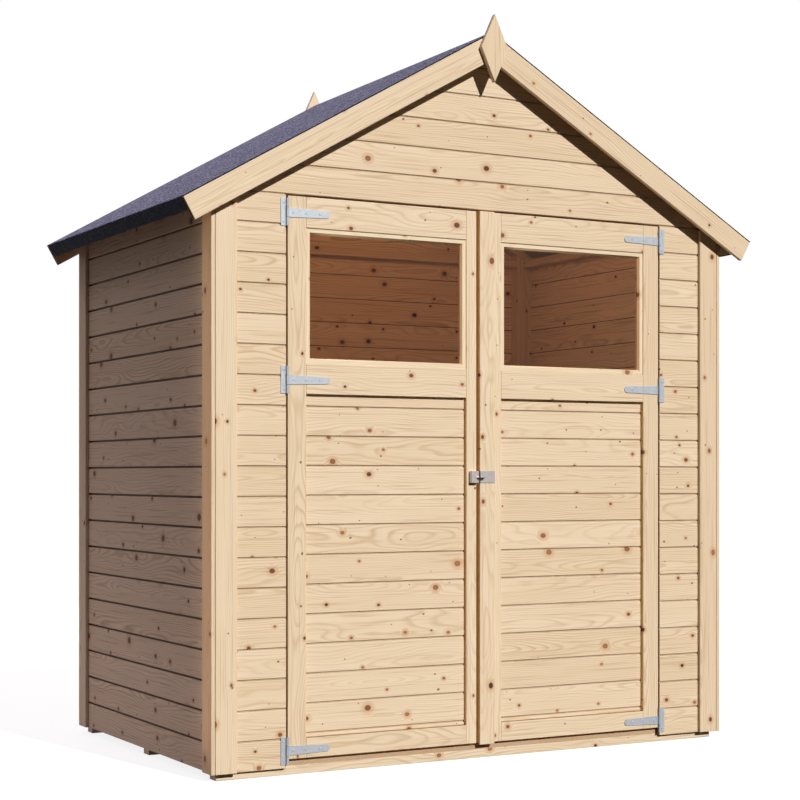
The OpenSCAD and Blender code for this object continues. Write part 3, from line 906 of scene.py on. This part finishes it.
def lip_rings(centre, face, top, reach):
    """Quarter rounds of the lip over the finger notch, smaller towards the notch's ends."""
    rings = []
    for x in reach:
        size = math.sqrt(max(HOOD_TIP, 1 - (x / (NOTCH_W / 2)) ** 2))
        ring = [Vector((centre + x, face, top))]
        for i in range(HOOD_STEPS + 1):
            turn = math.pi / 2 * i / HOOD_STEPS
            ring.append(Vector((centre + x, face - HOOD_OUT * size * math.cos(turn),
                                top + HOOD_H * size * math.sin(turn))))
        rings.append(ring)
    return rings


def make_latch():
    """Lip over the finger notch, in one half on each leaf, with a black sheet of painted shade as the inside
    of the notch.
    """
    keeper_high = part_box("latch_keeper")[1]
    plate_low, plate_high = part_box("latch_plate")
    centre, face, back = plate_low.x, plate_low.y, plate_high.y
    top = (plate_low.z + plate_high.z) / 2 - NOTCH_DROP
    half = NOTCH_W / 2
    radius = (half ** 2 + NOTCH_H ** 2) / (2 * NOTCH_H)
    for body, start, end in (("left_door", -half, keeper_high.x - centre), ("right_door", 0.0, half)):
        reach = [start + (end - start) * i / NOTCH_STEPS for i in range(NOTCH_STEPS + 1)]
        lip = Piece()
        lip.add_tube(lip_rings(centre, face, top, reach))
        lip.make(f"{body}_latch_lip", LATCH_ZINC, body)
        curve = reach[1:] if body == "left_door" else reach[:-1]
        outline = [(centre + x, top + radius - NOTCH_H - math.sqrt(radius ** 2 - x ** 2)) for x in curve]
        outline += [(centre + end, top), (centre + start, top)]
        # A black sheet behind the notch is painted shade
        shade_sheet = Piece()
        shade_sheet.add_plate(outline, back - LINER_T, back)
        shade_sheet.make(f"{body}_latch_painted_shade", NOTCH_SHADE, body)


def make_keeper_flange():
    """Sides of the latch keeper, turned back to the stile, in a pale zinc that paints light on their shaded
    faces.
    """
    low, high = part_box("latch_keeper")
    plate_low, plate_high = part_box("latch_plate")
    plate_t = plate_high.y - plate_low.y
    end = high.x - plate_t
    outer = [(end, high.z), (low.x, high.z), (low.x, low.z), (end, low.z)]
    inner = [(end, low.z + FLANGE_T), (low.x + FLANGE_T, low.z + FLANGE_T),
             (low.x + FLANGE_T, high.z - FLANGE_T), (end, high.z - FLANGE_T)]
    flange = Piece()
    flange.add_plate(outer + inner, low.y + plate_t, high.y)
    flange.make("latch_keeper_flange", FLANGE_LIT_ZINC, "left_door")


def dress_kept_nodes():
    """Gives the CAD nodes that stay in view their finish."""
    for material, nodes in (
            (ZINC, ("left_hinge_plates", "right_hinge_plates", "left_door_straps", "right_door_straps")),
            (LATCH_ZINC, ("latch_keeper", "latch_plate")),
            (GLASS, ("left_door_glass", "right_door_glass"))):
        for node in nodes:
            kept = frame["nodes"][node].data
            kept.materials.clear()
            kept.materials.append(material)
    # Shadow rays already bring the sun through the glass, so diffuse rays skip it
    for node in ("left_door_glass", "right_door_glass"):
        frame["nodes"][node].visible_diffuse = False


# Stage

CAMERA_PLACE = (-2.8573, -5.207, 0.8745)
CAMERA_TURN = math.radians(-28.90)
CAMERA_LENS = 79.24
CAMERA_SENSOR = 36
CAMERA_RISE = 0.0935
SUN_TRAVEL = Vector((-0.155, 0.851, -0.502))
SUN_PLACE = Vector((0, 0, 5))
SUN_STRENGTH = 3.55
SUN_ANGLE = math.radians(1.2)
SUN_COLOUR = (1.0, 0.972, 0.925)
SHADE_LIGHT = 0.022
SHADE_TINT = (1.0, 0.66, 0.45)
SIDE_COLOUR = (1.0, 0.83, 0.94)
REAR_COLOUR = (1.0, 0.93, 0.88)
ROOM_COLOUR = (1.0, 0.555, 0.28)
REVEAL_COLOUR = (1.0, 0.80, 0.62)
CORNER_COLOUR = (1.0, 0.78, 0.60)
# Soft lamps: name, place, what they face, width and height, power and colour
SOFT_LAMPS = (
    ("left_high", (-2.6, 1.0, 5.0), (-1.0, 0.6, 0.5), (3.0, 2.0), 34.0, SIDE_COLOUR),
    ("low_left", (-2.2, 0.6, 0.2), (-0.9, 0.6, 0.25), (2.2, 0.35), 1.5, SIDE_COLOUR),
    ("low_near", (-1.6, 0.3, 0.05), (-0.9, 0.3, 0.3), (2.0, 0.15), 1.3, SIDE_COLOUR),
    ("right_sky", (4.6, 1.6, 3.9), (0.9, 1.6, 0.9), (4.2, 3.0), 24.0, SIDE_COLOUR),
    ("rear_sky", (0.0, 5.0, 3.0), (0.0, 0.5, 1.0), (1.7, 3.0), 80.0, REAR_COLOUR),
    ("overhead", (-2.4, 2.0, 5.2), (-2.4, 2.0, 0.0), (7.0, 5.0), 40.0, SIDE_COLOUR),
    ("corner", (-0.99, -0.545, 0.87), (-0.91, -0.545, 0.87), (0.03, 1.6), 0.195, CORNER_COLOUR),
    ("left_reveal", (-0.595, -0.51, 1.4), (0.0, -0.53, 1.4), (0.012, 0.22), 0.5, REVEAL_COLOUR),
    ("right_reveal", (0.085, -0.51, 1.4), (0.6, -0.53, 1.4), (0.012, 0.22), 0.5, REVEAL_COLOUR),
    ("room", (0.0, -0.40, 1.85), (0.0, 0.5, 1.85), (0.9, 0.12), 1.95, ROOM_COLOUR),
)
# Rays with less than this many diffuse bounces behind them show the background
FIRST_BOUNCE = 0.5
FLOOR_SIZE = 120.0
FLOOR_GLOW = 0.86
FLOOR_PALE = 0.27
FLOOR_DIM = (0.03, 0.02, 0.014)


def make_camera():
    data = bpy.data.cameras.new("camera")
    data.lens = CAMERA_LENS
    data.sensor_width = CAMERA_SENSOR
    data.shift_y = CAMERA_RISE
    camera = bpy.data.objects.new("camera", data)
    camera.location = CAMERA_PLACE
    camera.rotation_euler = (math.radians(90), 0, CAMERA_TURN)
    bpy.context.scene.collection.objects.link(camera)
    bpy.context.scene.camera = camera


def aim(lamp, place, travel):
    obj = bpy.data.objects.new(lamp.name, lamp)
    obj.location = place
    obj.rotation_euler = travel.to_track_quat("-Z", "Y").to_euler()
    bpy.context.scene.collection.objects.link(obj)
    return obj


def soft_lamp(name, place, target, size, power, colour):
    """Soft lamp that lights things and isn't seen itself."""
    lamp = bpy.data.lights.new(name, "AREA")
    lamp.shape = "RECTANGLE"
    lamp.size, lamp.size_y = size
    lamp.energy = power
    lamp.color = colour
    obj = aim(lamp, Vector(place), Vector(target) - Vector(place))
    obj.visible_camera = False
    obj.visible_glossy = False
    obj.visible_transmission = False


def make_lights():
    sun = bpy.data.lights.new("sun", "SUN")
    sun.energy = SUN_STRENGTH
    sun.angle = SUN_ANGLE
    sun.color = SUN_COLOUR
    aim(sun, SUN_PLACE, SUN_TRAVEL)
    for lamp in SOFT_LAMPS:
        soft_lamp(*lamp)


def seen_ray(nodes):
    """1 for rays that show the background, straight or in metal and glass, and 0 for those that light."""
    path = nodes.node("LightPath").outputs
    seen = nodes.math("MAXIMUM", path["Is Camera Ray"], path["Is Glossy Ray"])
    seen = nodes.math("MAXIMUM", seen, path["Is Transmission Ray"])
    return nodes.math("MULTIPLY", seen, nodes.math("LESS_THAN", path["Diffuse Depth"], FIRST_BOUNCE))


def make_world():
    """White where it is seen. As a light it is dim, so that shadows stay deep."""
    world = bpy.data.worlds.new("studio")
    world.use_nodes = True
    nodes = Nodes(world.node_tree)
    white = nodes.tree.nodes["Background"]
    nodes.feed(white.inputs["Color"], grey(1.0))
    shade = nodes.node("Background", None, {"Color": rgb(*SHADE_TINT), "Strength": SHADE_LIGHT})
    nodes.end("World Output", nodes.mix_shaders(seen_ray(nodes), shade, white))
    bpy.context.scene.world = world


def make_floor_stage():
    """Pale floor that shows white with the shed's shadow, and returns little light to its walls."""
    mesh = bpy.data.meshes.new("stage_floor")
    reach = FLOOR_SIZE / 2
    corners = [(-reach, -reach, 0), (reach, -reach, 0), (reach, reach, 0), (-reach, reach, 0)]
    mesh.from_pydata(corners, [], [(0, 1, 2, 3)])
    floor = bpy.data.objects.new("stage_floor", mesh)
    bpy.context.scene.collection.objects.link(floor)
    material = bpy.data.materials.new("stage_floor")
    material.use_nodes = True
    nodes = Nodes(material.node_tree)
    nodes.tree.nodes.remove(nodes.tree.nodes["Principled BSDF"])
    glow = nodes.node("Emission", None, {"Strength": FLOOR_GLOW})
    pale = nodes.node("BsdfDiffuse", None, {"Color": grey(FLOOR_PALE)})
    dim = nodes.node("BsdfDiffuse", None, {"Color": rgb(*FLOOR_DIM)})
    shown = nodes.node("AddShader", None, {0: glow.outputs[0], 1: pale.outputs[0]})
    nodes.end("Material Output", nodes.mix_shaders(seen_ray(nodes), dim, shown))
    mesh.materials.append(material)


make_walls()
make_floor()
make_roof_boards()
make_felt("roof_felt_left", -1)
make_felt("roof_felt_right", 1)
make_timbers()
make_doors()
make_hinge_screws()
make_latch()
make_keeper_flange()
dress_kept_nodes()
make_camera()
make_lights()
make_world()
make_floor_stage()
bpy.context.scene.view_settings.view_transform = "Standard"
